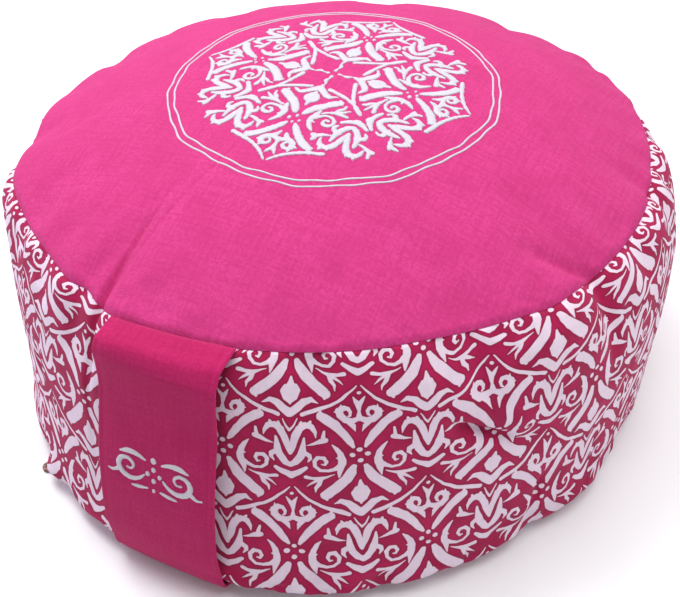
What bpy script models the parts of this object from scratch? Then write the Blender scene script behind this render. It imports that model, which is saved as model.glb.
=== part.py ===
"""A round, firmly filled meditation cushion with a carry strap, standing on its flat base.

Metres, +Z up. The origin is the middle of the base's flat underside, and the middle of the
strap is on -Y. The cover is two round panels and a printed band. The filled body is one solid,
whose side is the band; the two panels are thin sheets on it, a hair's breadth clear.
"""
from collections import namedtuple
from math import asin, cos, exp, pi, radians, sin, sqrt

import bmesh
import bpy
from mathutils import Vector

for leftover in list(bpy.data.objects):
    bpy.data.objects.remove(leftover, do_unlink=True)

# The cover's finished sizes.
SEAM_RADIUS = 0.165  # the top panel's edge, where it is sewn to the band
SEAM_HEIGHT = 0.1385  # that edge above the floor
SEAM_OVAL = 0.0018  # how far the edge is from a true circle, along its diagonals
CROWN_RISE = 0.041  # the crown's middle above its edge
CROWN_POWER = 2.35  # a parabola has 2; more is flatter in the middle
BASE_RADIUS = 0.168  # the base panel's edge
PANEL_CLOTH = 0.0016  # the top panel with its turned hem
BASE_CLOTH = 0.0020  # the base panel with its turned hem
GAP = 0.0004  # between one piece and the next

# How the filling pushes the band out.
BELLY = 0.0137  # the band's swell between its two seams
BELLY_LEAN = 0.245  # its share more towards +X, and less towards -X
BELLY_HEIGHT_POWER = 1.83  # above 1 the swell sits high
BELLY_ROUNDNESS = 0.42  # small numbers give square shoulders
SLUMP = 0.0100  # the extra spread at the foot, all round
SLUMP_FRONT = 0.0235  # more of it at the front, where the filling has settled
SLUMP_FRONT_AZIMUTH = -84
SLUMP_FRONT_HALF_WIDTH = 50
SLUMP_POWER = 2.26
TUCK_HEIGHT = 0.018  # below this the band turns under, to the base panel's edge

# The strap.
STRAP_WIDTH = 0.062
STRAP_THICKNESS = 0.0020  # two layers of cloth
STRAP_FLATNESS = 0.5  # in mid-air, from 0, round as the band, to 1, straight across
STRAP_END_CLEARANCE = 0.0009  # from the panels' edges
STRAP_FLOOR_CLEARANCE = 0.0001

# The zip's pull tab. It lies on the floor, from the base panel's edge to beyond the band.
PULL_AZIMUTH = -120.6
PULL_TIP_RADIUS = 0.1945
PULL_LENGTH = PULL_TIP_RADIUS - BASE_RADIUS - GAP
PULL_TIP_WIDTH = 0.0066
PULL_ROOT_WIDTH = 0.0040
PULL_THICKNESS = 0.0014
PULL_EYE_RADIUS = 0.0015
PULL_FLOOR_CLEARANCE = 0.0002

# Mesh steps.
TURNS = 96  # round the cushion
CROWN_SHARES = (0.16, 0.32, 0.47, 0.60, 0.72, 0.82, 0.90, 0.96, 1.0)
SIDE_SHARES = (
    0, 0.006, 0.025, 0.055, 0.09, 0.135, 0.21, 0.31, 0.43, 0.55, 0.67,
    0.77, 0.85, 0.91, 0.95, 0.98, 0.995, 1,
)
STRAP_COLUMNS = 9
STRAP_STEPS_PER_STATION = 2
PULL_CORNERS = 24

FRONT = radians(-90)
FLAT_FOOT = BASE_CLOTH + GAP  # the underside of the filled body

# Where the seam stands out from its circle, or back from it. Azimuths are from +X towards +Y.
Sway = namedtuple("Sway", "azimuth half_width outward")
SEAM_SWAYS = (
    Sway(-167, 4, 0.0015),
    Sway(-157, 4, -0.0020),
    Sway(-146, 8, 0.0040),
    Sway(-121, 9, -0.0028),
    Sway(-100, 4, 0.0018),
    Sway(-44, 7, -0.0016),
    Sway(-28, 5, 0.0016),
    Sway(45, 3, 0.0022),
    Sway(56, 3, 0.0018),
    Sway(88, 7, 0.0014),
    Sway(124, 8, -0.0018),
    Sway(150, 6, 0.0016),
)

# Creases that run in from the seam over the top panel. Reach is a share of the radius, and
# skew is how far the crease has turned at its inner end.
CREASE_DRAW = 0.5  # a crease draws the seam in by this share of its depth
Crease = namedtuple("Crease", "azimuth half_width depth reach skew")
TOP_CREASES = (
    Crease(-103.5, 3.0, 0.0034, 0.34, -1.5),
    Crease(-68, 5, 0.0010, 0.10, 0),
    Crease(-45, 6, 0.0016, 0.13, 3),
    Crease(-20, 4, 0.0036, 0.30, -7),
    Crease(-7, 3.5, 0.0012, 0.12, -2),
    Crease(7, 3.5, 0.0022, 0.16, -3),
    Crease(16, 3, 0.0016, 0.12, 0),
    Crease(40, 3, 0.0018, 0.12, 2),
    Crease(51, 3, 0.0016, 0.12, 0),
    Crease(73, 4, 0.0020, 0.16, 3),
    Crease(106, 4, 0.0026, 0.24, -4),
    Crease(139, 4, 0.0018, 0.14, 2),
    Crease(171, 4, 0.0022, 0.20, 3),
    Crease(-157, 3.5, 0.0022, 0.14, -2),
    Crease(-131, 4, 0.0014, 0.12, 0),
)

# Soft dents in the band, where the filling leaves it slack.
Dent = namedtuple("Dent", "azimuth height half_width half_height depth")
BAND_DENTS = (
    Dent(-43, 0.093, 6, 0.010, 0.0024),
    Dent(-33, 0.034, 4, 0.018, 0.0026),
    Dent(-6, 0.070, 5, 0.022, 0.0014),
    Dent(24, 0.050, 6, 0.020, 0.0020),
    Dent(66, 0.085, 5, 0.016, 0.0020),
    Dent(101, 0.045, 6, 0.020, 0.0024),
    Dent(140, 0.090, 6, 0.018, 0.0018),
    Dent(172, 0.050, 5, 0.022, 0.0024),
    Dent(-150, 0.088, 5, 0.018, 0.0016),
    Dent(-131, 0.045, 5, 0.020, 0.0018),
    Dent(-66, 0.040, 5, 0.016, 0.0012),
)

# The strap's route up the front. Lift is from the band's surface out to the strap's mid-plane.
Station = namedtuple("Station", "height lift")
STRAP_ROUTE = (
    Station(0.0052, 0.0046),
    Station(0.0110, 0.0046),
    Station(0.0190, 0.0056),
    Station(0.0295, 0.0088),
    Station(0.0420, 0.0122),
    Station(0.0560, 0.0144),
    Station(0.0720, 0.0142),
    Station(0.0890, 0.0122),
    Station(0.1055, 0.0096),
    Station(0.1190, 0.0072),
    Station(0.1285, 0.0050),
)


def turn_between(azimuth, degrees_there):
    """The angle in degrees from a table's azimuth to this one, from -180 to 180."""
    return (azimuth * 180 / pi - degrees_there + 180) % 360 - 180


def bump(distance, half_width):
    """A smooth bump: 1 in the middle, 0.37 at half_width, 0 far away."""
    return exp(-((distance / half_width) ** 2))


def crease_depth(azimuth, share):
    """How far the creases sink the top panel at a share of its radius."""
    depth = 0
    for crease in TOP_CREASES:
        inward = (1 - share) / crease.reach
        if inward < 1:
            place = crease.azimuth + crease.skew * inward
            depth += crease.depth * bump(turn_between(azimuth, place), crease.half_width) * (1 - inward**2) ** 2
    return depth


def seam_circle(azimuth):
    """The top panel's edge before it is swayed: a circle, a little oval."""
    return SEAM_RADIUS + SEAM_OVAL * sin(2 * azimuth)


def seam_sway(azimuth):
    """How far the edge stands out from that circle; it is drawn in where it is creased."""
    swayed = sum(s.outward * bump(turn_between(azimuth, s.azimuth), s.half_width) for s in SEAM_SWAYS)
    return swayed - CREASE_DRAW * crease_depth(azimuth, 1)


def seam_radius(azimuth):
    return seam_circle(azimuth) + seam_sway(azimuth)


def crown_height(azimuth, share):
    """The top panel's upper face: a crown of a power curve, less its creases."""
    return SEAM_HEIGHT + CROWN_RISE * (1 - share**CROWN_POWER) - crease_depth(azimuth, share)


def body_crown_height(azimuth, share):
    """The filled body's upper face, which the top panel covers."""
    return crown_height(azimuth, share) - PANEL_CLOTH - GAP


def side_radius(azimuth, height):
    """The band's outside. Between its seams it swells by a power of a sine, it spreads at the
    foot, and below TUCK_HEIGHT it turns under in a quarter ellipse to the base panel's edge.
    The seam's sway fades away down the band."""
    rim = body_crown_height(azimuth, 1)
    share = min(max(height / rim, 0), 1)
    swell = BELLY * (1 + BELLY_LEAN * cos(azimuth)) * max(sin(pi * share**BELLY_HEIGHT_POWER), 0) ** BELLY_ROUNDNESS
    slump = SLUMP + SLUMP_FRONT * bump(turn_between(azimuth, SLUMP_FRONT_AZIMUTH), SLUMP_FRONT_HALF_WIDTH)
    dents = sum(
        d.depth * bump(turn_between(azimuth, d.azimuth), d.half_width) * bump(height - d.height, d.half_height)
        for d in BAND_DENTS
    )
    edge = seam_circle(azimuth) + seam_sway(azimuth) * share**2
    free = edge + swell + slump * (1 - share) ** SLUMP_POWER - dents
    tuck = min(max((height - FLAT_FOOT) / TUCK_HEIGHT, 0), 1)
    return BASE_RADIUS + (free - BASE_RADIUS) * sqrt(1 - (1 - tuck) ** 2)


def azimuths():
    return [2 * pi * k / TURNS for k in range(TURNS)]


def on_circle(azimuth, radius, height):
    return Vector((radius * cos(azimuth), radius * sin(azimuth), height))


def crown_ring(share, height_of):
    """A ring of points on the crown, at a share of the seam's radius."""
    return [on_circle(a, share * seam_radius(a), height_of(a, share)) for a in azimuths()]


def side_ring(share):
    """A ring of points on the band, at a share of its height."""
    ring = []
    for a in azimuths():
        height = FLAT_FOOT + share * (body_crown_height(a, 1) - FLAT_FOOT)
        ring.append(on_circle(a, side_radius(a, height), height))
    return ring


def flat_ring(radius, height):
    return [on_circle(a, radius, height) for a in azimuths()]


def add_part(name, bm, colour, roughness, metallic=0.0):
    """An object of this name from a closed mesh, with a material of its own."""
    bmesh.ops.recalc_face_normals(bm, faces=bm.faces)
    mesh = bpy.data.meshes.new(name)
    bm.to_mesh(mesh)
    bm.free()
    mesh.shade_smooth()
    mesh.set_sharp_from_angle(angle=radians(40))
    material = bpy.data.materials.new(name)
    material.use_nodes = True
    shader = material.node_tree.nodes["Principled BSDF"]
    shader.inputs["Base Color"].default_value = (*colour, 1)
    shader.inputs["Roughness"].default_value = roughness
    shader.inputs["Metallic"].default_value = metallic
    mesh.materials.append(material)
    part = bpy.data.objects.new(name, mesh)
    bpy.context.collection.objects.link(part)
    return part


def loft(rings, first_pole=None, last_pole=None):
    """A closed skin through rings of points. Each end closes on its pole, or else with a flat face."""
    bm = bmesh.new()
    loops = [[bm.verts.new(point) for point in ring] for ring in rings]
    count = len(loops[0])
    for low, high in zip(loops, loops[1:]):
        for k in range(count):
            following = (k + 1) % count
            bm.faces.new((low[k], low[following], high[following], high[k]))
    for pole, loop in ((first_pole, loops[0]), (last_pole, loops[-1])):
        if pole is None:
            bm.faces.new(loop)
            continue
        tip = bm.verts.new(pole)
        for k in range(count):
            bm.faces.new((tip, loop[k], loop[(k + 1) % count]))
    return bm


def grid_slab(outer, inner):
    """A closed slab between two grids of points of the same size."""
    bm = bmesh.new()
    sides = [[[bm.verts.new(point) for point in row] for row in grid] for grid in (outer, inner)]
    rows, columns = len(outer), len(outer[0])
    for side in sides:
        for i in range(rows - 1):
            for j in range(columns - 1):
                bm.faces.new((side[i][j], side[i + 1][j], side[i + 1][j + 1], side[i][j + 1]))
    rim = [(0, j) for j in range(columns)]
    rim += [(i, columns - 1) for i in range(1, rows)]
    rim += [(rows - 1, j) for j in range(columns - 2, -1, -1)]
    rim += [(i, 0) for i in range(rows - 2, 0, -1)]
    for (i, j), (m, n) in zip(rim, rim[1:] + rim[:1]):
        bm.faces.new((sides[0][i][j], sides[0][m][n], sides[1][m][n], sides[1][i][j]))
    return bm


def filled_band():
    """The filled body: flat foot, printed band, and the crown under the top panel."""
    rings = [side_ring(share) for share in SIDE_SHARES]
    rings += [crown_ring(share, body_crown_height) for share in reversed(CROWN_SHARES[:-1])]
    peak = Vector((0, 0, body_crown_height(0, 0)))
    return add_part("filled_band", loft(rings, last_pole=peak), (0.56, 0.20, 0.34), 0.85)


def top_panel():
    """The plain round panel over the crown."""

    def under_face(azimuth, share):
        return crown_height(azimuth, share) - PANEL_CLOTH

    upper = [crown_ring(share, crown_height) for share in CROWN_SHARES]
    lower = [crown_ring(share, under_face) for share in reversed(CROWN_SHARES)]
    peak = Vector((0, 0, crown_height(0, 0)))
    under = Vector((0, 0, under_face(0, 0)))
    return add_part("top_panel", loft(upper + lower, peak, under), (0.79, 0.07, 0.30), 0.85)


def base_panel():
    """The plain round panel that the cushion stands on."""
    rings = [flat_ring(BASE_RADIUS, 0), flat_ring(BASE_RADIUS, BASE_CLOTH)]
    return add_part("base_panel", loft(rings), (0.79, 0.07, 0.30), 0.85)


def strap_route():
    """The strap's mid-line at the front as points (radius, height), on one smooth curve
    through its ends at the two seams and the stations between them."""
    foot = STRAP_FLOOR_CLEARANCE + STRAP_THICKNESS / 2
    under_edge = BASE_RADIUS + STRAP_END_CLEARANCE
    head_radius = seam_radius(FRONT) + STRAP_END_CLEARANCE
    head_height = body_crown_height(FRONT, 1) + STRAP_THICKNESS / 2 + GAP
    shoulder = Vector((head_radius + 0.0055, head_height - 0.0026))
    points = [Vector((under_edge, foot)), Vector((under_edge + 0.008, foot))]
    points += [Vector((side_radius(FRONT, s.height) + s.lift, s.height)) for s in STRAP_ROUTE]
    points += [shoulder, Vector((head_radius, head_height))]
    padded = [2 * points[0] - points[1], *points, 2 * points[-1] - points[-2]]
    route = []
    for a, b, c, d in zip(padded, padded[1:], padded[2:], padded[3:]):
        for step in range(STRAP_STEPS_PER_STATION):
            t = step / STRAP_STEPS_PER_STATION
            place = 0.5 * (2 * b + (c - a) * t + (2 * a - 5 * b + 4 * c - d) * t**2 + (3 * b - a - 3 * c + d) * t**3)
            route.append(Vector((place.x, max(place.y, foot))))
    return route + [points[-1]]


def strap_point(across, radius, height, roundness):
    """A point of the strap, across from its middle. Round, it follows the band; flat, it is straight."""
    azimuth = FRONT + asin(across / radius)
    level = max(height, FLAT_FOOT)
    round_radius = radius + side_radius(azimuth, level) - side_radius(FRONT, level)
    round_y = -sqrt(round_radius**2 - across**2)
    return Vector((across, -radius + roundness * (round_y + radius), height))


def carry_strap():
    """The flat strap, sewn in at both seams and standing off the band between them."""
    route = strap_route()
    ahead = route[1:] + [2 * route[-1] - route[-2]]
    behind = [2 * route[0] - route[1]] + route[:-1]
    outer, inner = [], []
    for index, (centre, following, previous) in enumerate(zip(route, ahead, behind)):
        along = (following - previous).normalized()
        outward = Vector((along.y, -along.x)) * STRAP_THICKNESS / 2
        progress = index / (len(route) - 1)
        roundness = 1 - STRAP_FLATNESS * sin(pi * progress) ** 2
        for grid, place in ((outer, centre + outward), (inner, centre - outward)):
            grid.append(
                [
                    strap_point(STRAP_WIDTH * (column / (STRAP_COLUMNS - 1) - 0.5), place.x, place.y, roundness)
                    for column in range(STRAP_COLUMNS)
                ]
            )
    return add_part("carry_strap", grid_slab(outer, inner), (0.55, 0.03, 0.16), 0.85)


def pull_outline(x, y):
    """A point of the tab's outline in the direction (x, y) from its eye: a round tip
    and straight sides that run back to a narrow root."""
    back = PULL_LENGTH - PULL_TIP_WIDTH / 2
    if x >= 0:
        return x * PULL_TIP_WIDTH / 2, y * PULL_TIP_WIDTH / 2
    width = PULL_TIP_WIDTH + (PULL_ROOT_WIDTH - PULL_TIP_WIDTH) * min(-x * 1.3, 1)
    side = max(abs(x) / back, abs(y) / (width / 2))
    return x / side, y / side


def zip_pull():
    """The metal tab of the base seam's zip, with the eye in its tip."""
    directions = [(cos(2 * pi * k / PULL_CORNERS), sin(2 * pi * k / PULL_CORNERS)) for k in range(PULL_CORNERS)]
    outline = [pull_outline(x, y) for x, y in directions]
    eye = [(PULL_EYE_RADIUS * x, PULL_EYE_RADIUS * y) for x, y in directions]
    azimuth = radians(PULL_AZIMUTH)
    outward = Vector((cos(azimuth), sin(azimuth), 0))
    across = Vector((-sin(azimuth), cos(azimuth), 0))
    middle = outward * (PULL_TIP_RADIUS - PULL_TIP_WIDTH / 2)
    low = PULL_FLOOR_CLEARANCE
    bm = bmesh.new()
    loops = []
    for shape, height in ((outline, low), (outline, low + PULL_THICKNESS), (eye, low + PULL_THICKNESS), (eye, low)):
        loops.append([bm.verts.new(middle + outward * x + across * y + Vector((0, 0, height))) for x, y in shape])
    for loop, following in zip(loops, loops[1:] + loops[:1]):
        for k in range(PULL_CORNERS):
            m = (k + 1) % PULL_CORNERS
            bm.faces.new((loop[k], loop[m], following[m], following[k]))
    return add_part("zip_pull", bm, (0.30, 0.17, 0.15), 0.4, 0.9)


filled_band()
top_panel()
base_panel()
carry_strap()
zip_pull()
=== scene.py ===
from itertools import product

import bpy
import numpy as np
from mathutils import Matrix


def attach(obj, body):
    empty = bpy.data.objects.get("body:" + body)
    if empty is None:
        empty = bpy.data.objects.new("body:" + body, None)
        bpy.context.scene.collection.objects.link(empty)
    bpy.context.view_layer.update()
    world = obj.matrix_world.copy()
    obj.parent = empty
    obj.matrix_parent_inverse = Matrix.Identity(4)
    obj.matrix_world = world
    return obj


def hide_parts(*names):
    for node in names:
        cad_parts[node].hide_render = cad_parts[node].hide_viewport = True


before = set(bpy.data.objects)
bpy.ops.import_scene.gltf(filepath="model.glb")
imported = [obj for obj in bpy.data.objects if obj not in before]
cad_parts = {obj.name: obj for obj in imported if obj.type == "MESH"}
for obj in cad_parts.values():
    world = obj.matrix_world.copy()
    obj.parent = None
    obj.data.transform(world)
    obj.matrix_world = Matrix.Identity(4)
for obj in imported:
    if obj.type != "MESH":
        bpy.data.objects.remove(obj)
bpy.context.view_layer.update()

# ------------------------------
# The sewn cover's form. A round cushion is two discs and a strip, sewn together and packed with
# hulls until it is firm: a crown on top, a band that swells out below its seam, spreads at the
# foot where the filling settles, and turns under to the base. Metres, azimuth from +X to +Y.
SEAM_RADIUS = 0.165
SEAM_HEIGHT = 0.1385
SEAM_OVAL = 0.0018
CROWN_RISE = 0.041
CROWN_POWER = 2.35
BASE_RADIUS = 0.168
PANEL_CLOTH = 0.0016
BASE_CLOTH = 0.0020
GAP = 0.0004
FLAT_FOOT = BASE_CLOTH + GAP
BELLY = 0.0137
BELLY_LEAN = 0.245
BELLY_HEIGHT_POWER = 1.83
BELLY_ROUNDNESS = 0.42
BELLY_SLACK = 0.5  # how much straighter the band runs up to its seam at the front
SLACK_AZIMUTH, SLACK_HALF_WIDTH = -62, 42
SLUMP = 0.0100
SLUMP_FRONT = 0.0235
SLUMP_FRONT_AZIMUTH = -84
SLUMP_FRONT_HALF_WIDTH = 50
SLUMP_POWER = 2.26
TUCK_HEIGHT = 0.009
TUCK_AT_STRAP, TUCK_HALF_WIDTH = 0.008, 12  # how much higher the strap makes it turn under
CREASE_DRAW = 0.5
# Each sway of the seam: azimuth and half width in degrees, then how far it stands out.
SEAM_SWAYS = (
    (-167, 5, 0.0022), (-157, 4, 0.001), (-146, 8, 0.004), (-121, 9, -0.0028), (-108.6, 2.6, -0.003),
    (-100, 4, 0.0018), (-84, 7, -0.0008), (-68, 12, -0.002), (-47, 11, -0.003), (-28, 5, 0.0016),
    (32, 5, 0.0012), (40, 4, 0.0034), (47, 3, 0.0024), (54, 4, 0.003), (88, 7, 0.0014),
    (124, 8, -0.0018), (150, 6, 0.0016),
)
# Each place where the filling lifts the seam: azimuth, half width in degrees, height.
SEAM_LIFTS = ((-92, 11, 0.0006), (-67, 12, 0.0018), (-49, 11, 0.0020), (-34, 7, 0.0008))
# Each crease of the top: azimuth, half width, depth, reach as a share of the radius, skew.
TOP_CREASES = (
    (-104.2, 2.8, 0.0021, 0.34, -4.4), (-104.3, 0.7, 0.0034, 0.34, -4.4), (-109.5, 2.2, 0.0007, 0.4, 0),
    (-68, 5, 0.001, 0.1, 0), (-45, 6, 0.0016, 0.13, 3), (-29.5, 1, 0.0009, 0.09, -9),
    (-18, 4.2, 0.0024, 0.26, -13), (-18, 1.5, 0.0032, 0.22, -11), (-7, 3.5, 0.0012, 0.12, -2),
    (8.6, 2.6, 0.0022, 0.2, 2), (8.6, 0.9, 0.0014, 0.13, 1), (16, 3, 0.0016, 0.12, 0),
    (40, 3, 0.0006, 0.12, 2), (51, 3, 0.0006, 0.12, 0),
    (73, 4, 0.002, 0.16, 3), (106, 4, 0.0026, 0.24, -4), (139, 4, 0.0018, 0.14, 2),
    (171, 4, 0.0022, 0.2, 3), (-157, 3.5, 0.0022, 0.14, -2), (-131, 4, 0.0014, 0.12, 0),
)
# Each slack place of the band: azimuth, height, half width, half height, depth.
BAND_DENTS = (
    (-43, 0.093, 6, 0.01, 0.0024), (-33, 0.034, 4, 0.018, 0.0026), (-6, 0.07, 5, 0.022, 0.0014),
    (24, 0.05, 6, 0.02, 0.002), (66, 0.085, 5, 0.016, 0.002), (101, 0.045, 6, 0.02, 0.0024),
    (140, 0.09, 6, 0.018, 0.0018), (172, 0.05, 5, 0.022, 0.0024), (-150, 0.088, 5, 0.018, 0.0016),
    (-131, 0.045, 5, 0.02, 0.0018), (-66, 0.04, 5, 0.016, 0.0012), (-21, 0.014, 6, 0.012, -0.003),
    (-117.5, 0.011, 3.2, 0.009, -0.003),
)
# Each sharp fold of the band: azimuth and height at its three points, half width and depth.
BAND_FOLDS = (
    ((-48, 0.101), (-42.6, 0.0895), (-37.4, 0.0815), 0.0027, 0.0052),
    ((-42.5, 0.103), (-38.5, 0.094), (-34, 0.089), 0.0042, -0.0018),
    ((-31, 0.052), (-32.2, 0.03), (-34.4, 0.015), 0.0032, 0.0028),
    ((-65.4, 0.066), (-64.1, 0.062), (-62.6, 0.057), 0.0016, 0.0009),
    ((-65.5, 0.0862), (-61.4, 0.0866), (-57.5, 0.0842), 0.0015, 0.0006),
    ((-15, 0.096), (-12.5, 0.083), (-11.5, 0.07), 0.003, 0.0016),
    ((-124, 0.09), (-121, 0.076), (-120, 0.06), 0.003, 0.0014),
    ((66, 0.1), (70, 0.088), (72, 0.074), 0.0032, 0.0022),
    ((118, 0.056), (116, 0.038), (117.5, 0.02), 0.0032, 0.0024),
    ((163, 0.101), (160, 0.089), (155.5, 0.08), 0.003, 0.002),
)
FLAT_BAND_RADIUS = 0.18  # turns an azimuth into a run along the band laid flat
BACK_MIDDLE, BACK_HALF_WIDTH, BACK_FADE = 119.5, 97, 14  # where the band swells out lower down
BACK_LESS_SWELL, BACK_SHARPER = 0.12, 0.6


def turn_between(azimuth, degrees_there):
    """The angle in degrees from a table's azimuth to these, from -180 to 180."""
    return (np.degrees(azimuth) - degrees_there + 180) % 360 - 180


def bump(distance, half_width):
    """A smooth bump: e to the minus square of distance over half width."""
    return np.exp(-((distance / half_width) ** 2))


def bump_at(azimuth, degrees_there, half_width):
    return bump(turn_between(azimuth, degrees_there), half_width)


def crease_depth(azimuth, share):
    """How far the creases sink the crown; each fades as it runs inwards."""
    depth = 0
    for place, half_width, deep, reach, skew in TOP_CREASES:
        inward = np.minimum((1 - share) / reach, 1)
        across = bump_at(azimuth, place + skew * inward, half_width)
        depth = depth + deep * across * (1 - inward**2) ** 2
    return depth


def seam_circle(azimuth):
    return SEAM_RADIUS + SEAM_OVAL * np.sin(2 * azimuth)


def seam_sway(azimuth):
    swayed = sum(out * bump_at(azimuth, place, wide) for place, wide, out in SEAM_SWAYS)
    return swayed - CREASE_DRAW * crease_depth(azimuth, 1)


def seam_radius(azimuth):
    return seam_circle(azimuth) + seam_sway(azimuth)


def crown_height(azimuth, share):
    """The crown over a share of the seam's radius: a power curve with its lifts and creases."""
    lift = sum(up * bump_at(azimuth, place, wide) for place, wide, up in SEAM_LIFTS)
    crown = SEAM_HEIGHT + CROWN_RISE * (1 - share**CROWN_POWER)
    return crown + lift * share**5 - crease_depth(azimuth, share)


def rim_height(azimuth):
    """The band's upper edge, under the top panel's."""
    return crown_height(azimuth, 1) - PANEL_CLOTH - GAP


def fold_depth(azimuth, height):
    """How far the folds sink the band: a bump of the distance to each fold's bent line, on the
    band laid flat, that fades at the line's ends."""
    depth = 0
    for start, middle, end, wide, deep in BAND_FOLDS:
        nearest, fade = 1, 0
        for (from_turn, from_height), (to_turn, to_height), low, high in (
            (start, middle, 0.0, 0.5), (middle, end, 0.5, 1.0),
        ):
            reach = np.radians(to_turn - from_turn) * FLAT_BAND_RADIUS, to_height - from_height
            away = np.radians(turn_between(azimuth, from_turn)) * FLAT_BAND_RADIUS, height - from_height
            run = (away[0] * reach[0] + away[1] * reach[1]) / (reach[0] ** 2 + reach[1] ** 2)
            run = np.clip(run, 0, 1)
            distance = np.hypot(away[0] - run * reach[0], away[1] - run * reach[1])
            along_line = np.sin(np.pi * np.clip(low + run * (high - low), 0.03, 0.97))
            fade = np.where(distance < nearest, along_line, fade)
            nearest = np.minimum(distance, nearest)
        depth = depth + deep * bump(nearest, wide) * fade**0.7
    return depth


def side_radius(azimuth, height):
    """The band's outside: the seam's circle with a swell and a slump, less dents and folds, and
    turned under at the foot in a quarter ellipse."""
    share = np.clip(height / rim_height(azimuth), 0, 1)
    wave = np.maximum(np.sin(np.pi * share**BELLY_HEIGHT_POWER), 0)
    back = (BACK_HALF_WIDTH - np.abs(turn_between(azimuth, BACK_MIDDLE))) / BACK_FADE
    back = np.clip(back, 0, 1)
    back = back**2 * (3 - 2 * back)
    slack = bump_at(azimuth, SLACK_AZIMUTH, SLACK_HALF_WIDTH)
    straighter = BELLY_SLACK * slack * (share**BELLY_HEIGHT_POWER > 0.5)
    swell = BELLY * (1 + BELLY_LEAN * np.cos(azimuth)) * (1 - BACK_LESS_SWELL * back)
    swell = swell * wave ** (BELLY_ROUNDNESS + BACK_SHARPER * back + straighter)
    front = bump_at(azimuth, SLUMP_FRONT_AZIMUTH, SLUMP_FRONT_HALF_WIDTH)
    dents = sum(
        deep * bump_at(azimuth, place, wide) * bump(height - middle, tall)
        for place, middle, wide, tall, deep in BAND_DENTS
    )
    edge = seam_circle(azimuth) + seam_sway(azimuth) * share**2
    free = edge + swell + (SLUMP + SLUMP_FRONT * front) * (1 - share) ** SLUMP_POWER - dents
    free = free - fold_depth(azimuth, height)
    tuck_height = TUCK_HEIGHT + TUCK_AT_STRAP * bump_at(azimuth, -90, TUCK_HALF_WIDTH)
    tuck = np.clip((height - FLAT_FOOT) / tuck_height, 0, 1)
    return BASE_RADIUS + (free - BASE_RADIUS) * np.sqrt(1 - (1 - tuck) ** 2)


def round_points(azimuth, radius, height):
    """Points (..., 3) from polar arrays."""
    around = np.broadcast_arrays(azimuth, radius, height)
    return np.stack([around[1] * np.cos(around[0]), around[1] * np.sin(around[0]), around[2]], -1)


def close_columns(count, places, half_width, extra):
    """Azimuths in degrees from -90 to 270, closer together near the given places."""
    fine = np.linspace(-90, 270, 7201)
    density = 1 + sum(extra * bump_at(np.radians(fine), place, half_width) for place in places)
    total = np.concatenate([[0], np.cumsum((density[1:] + density[:-1]) / 2)])
    return np.interp(np.linspace(0, total[-1], count + 1), total, fine)


def make_piece(name, points, faces, maps=None):
    """A smooth mesh object from points, a list of faces, and UV maps with a place for every
    corner of every face in turn."""
    mesh = bpy.data.meshes.new(name)
    mesh.from_pydata(np.asarray(points).reshape(-1, 3).tolist(), [], faces)
    for map_name, places in (maps or {}).items():
        layer = mesh.uv_layers.new(name=map_name)
        layer.data.foreach_set("uv", np.asarray(places, dtype=np.float32).ravel())
    mesh.shade_smooth()
    mesh.update()
    piece = bpy.data.objects.new(name, mesh)
    bpy.context.collection.objects.link(piece)
    return piece


def round_quads(rows, columns):
    """The row and the column of each corner of each quad, in a grid that runs down in rows and
    closes on itself round the cushion."""
    i, j = (a.ravel() for a in np.meshgrid(np.arange(rows - 1), np.arange(columns), indexing="ij"))
    return np.stack([i, i + 1, i + 1, i], 1), np.stack([j, j, j + 1, j + 1], 1)


def tube_ids(rows, columns, first=0):
    """The points at the corners of a tube's quads, and those of the rings at its two ends."""
    row, col = round_quads(rows, columns)
    ring = first + np.arange(columns)
    return first + row * columns + col % columns, ring, (rows - 1) * columns + ring


def round_shell(grid, pole_heights):
    """Points and faces of a grid of rings that fans of triangles close at two poles."""
    rows, columns = grid.shape[:2]
    ids, upper, lower = tube_ids(rows, columns)
    after = np.roll(np.arange(columns), -1)
    upper_fan = np.stack([np.full(columns, rows * columns), upper, upper[after]], 1)
    lower_fan = np.stack([np.full(columns, rows * columns + 1), lower[after], lower], 1)
    points = np.concatenate([grid.reshape(-1, 3), [[0, 0, height] for height in pole_heights]])
    return points, ids.tolist() + upper_fan.tolist() + lower_fan.tolist()


def catmull_rom(a, b, c, d, t):
    """The smooth curve from b to c, at the share t of the way."""
    bend = (2 * a - 5 * b + 4 * c - d) * t**2 + (3 * b - a - 3 * c + d) * t**3
    return 0.5 * (2 * b + (c - a) * t + bend)


# ------------------------------
# The cover filled. Cloth a little larger than its filling is sewn in at both seams and pressed
# out from inside, which leaves soft puckers along the seams and slack ripples between them. The
# simulation gives only this relief; it is held to a few millimetres, so the outline stays.
COVER_COLUMNS = 168
COVER_CROWN_SHARES = np.concatenate([np.linspace(0.16, 0.88, 13), np.linspace(0.915, 1, 5)])
COVER_SIDE_SHARES = (1 - np.cos(np.pi * np.linspace(0, 1, 34))) / 2
COVER_FOOT_SHARES = np.linspace(0.85, 0.2, 5)
COVER_SLACK = 0.03
COVER_FRAMES = 20
COVER_CLOTH = {
    "quality": 6, "mass": 0.25, "tension_stiffness": 18, "compression_stiffness": 18,
    "shear_stiffness": 6, "bending_stiffness": 0.25, "use_pressure": True,
    "uniform_pressure_force": 4, "shrink_min": -COVER_SLACK, "vertex_group_mass": "sewn",
}
CROWN_RELIEF_LIMIT, SIDE_RELIEF_LIMIT = 0.0007, 0.0022
SLOW_TURN = 14  # degrees; slower waves than this are taken out of the relief
FADE_SHARE = 0.2


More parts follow.
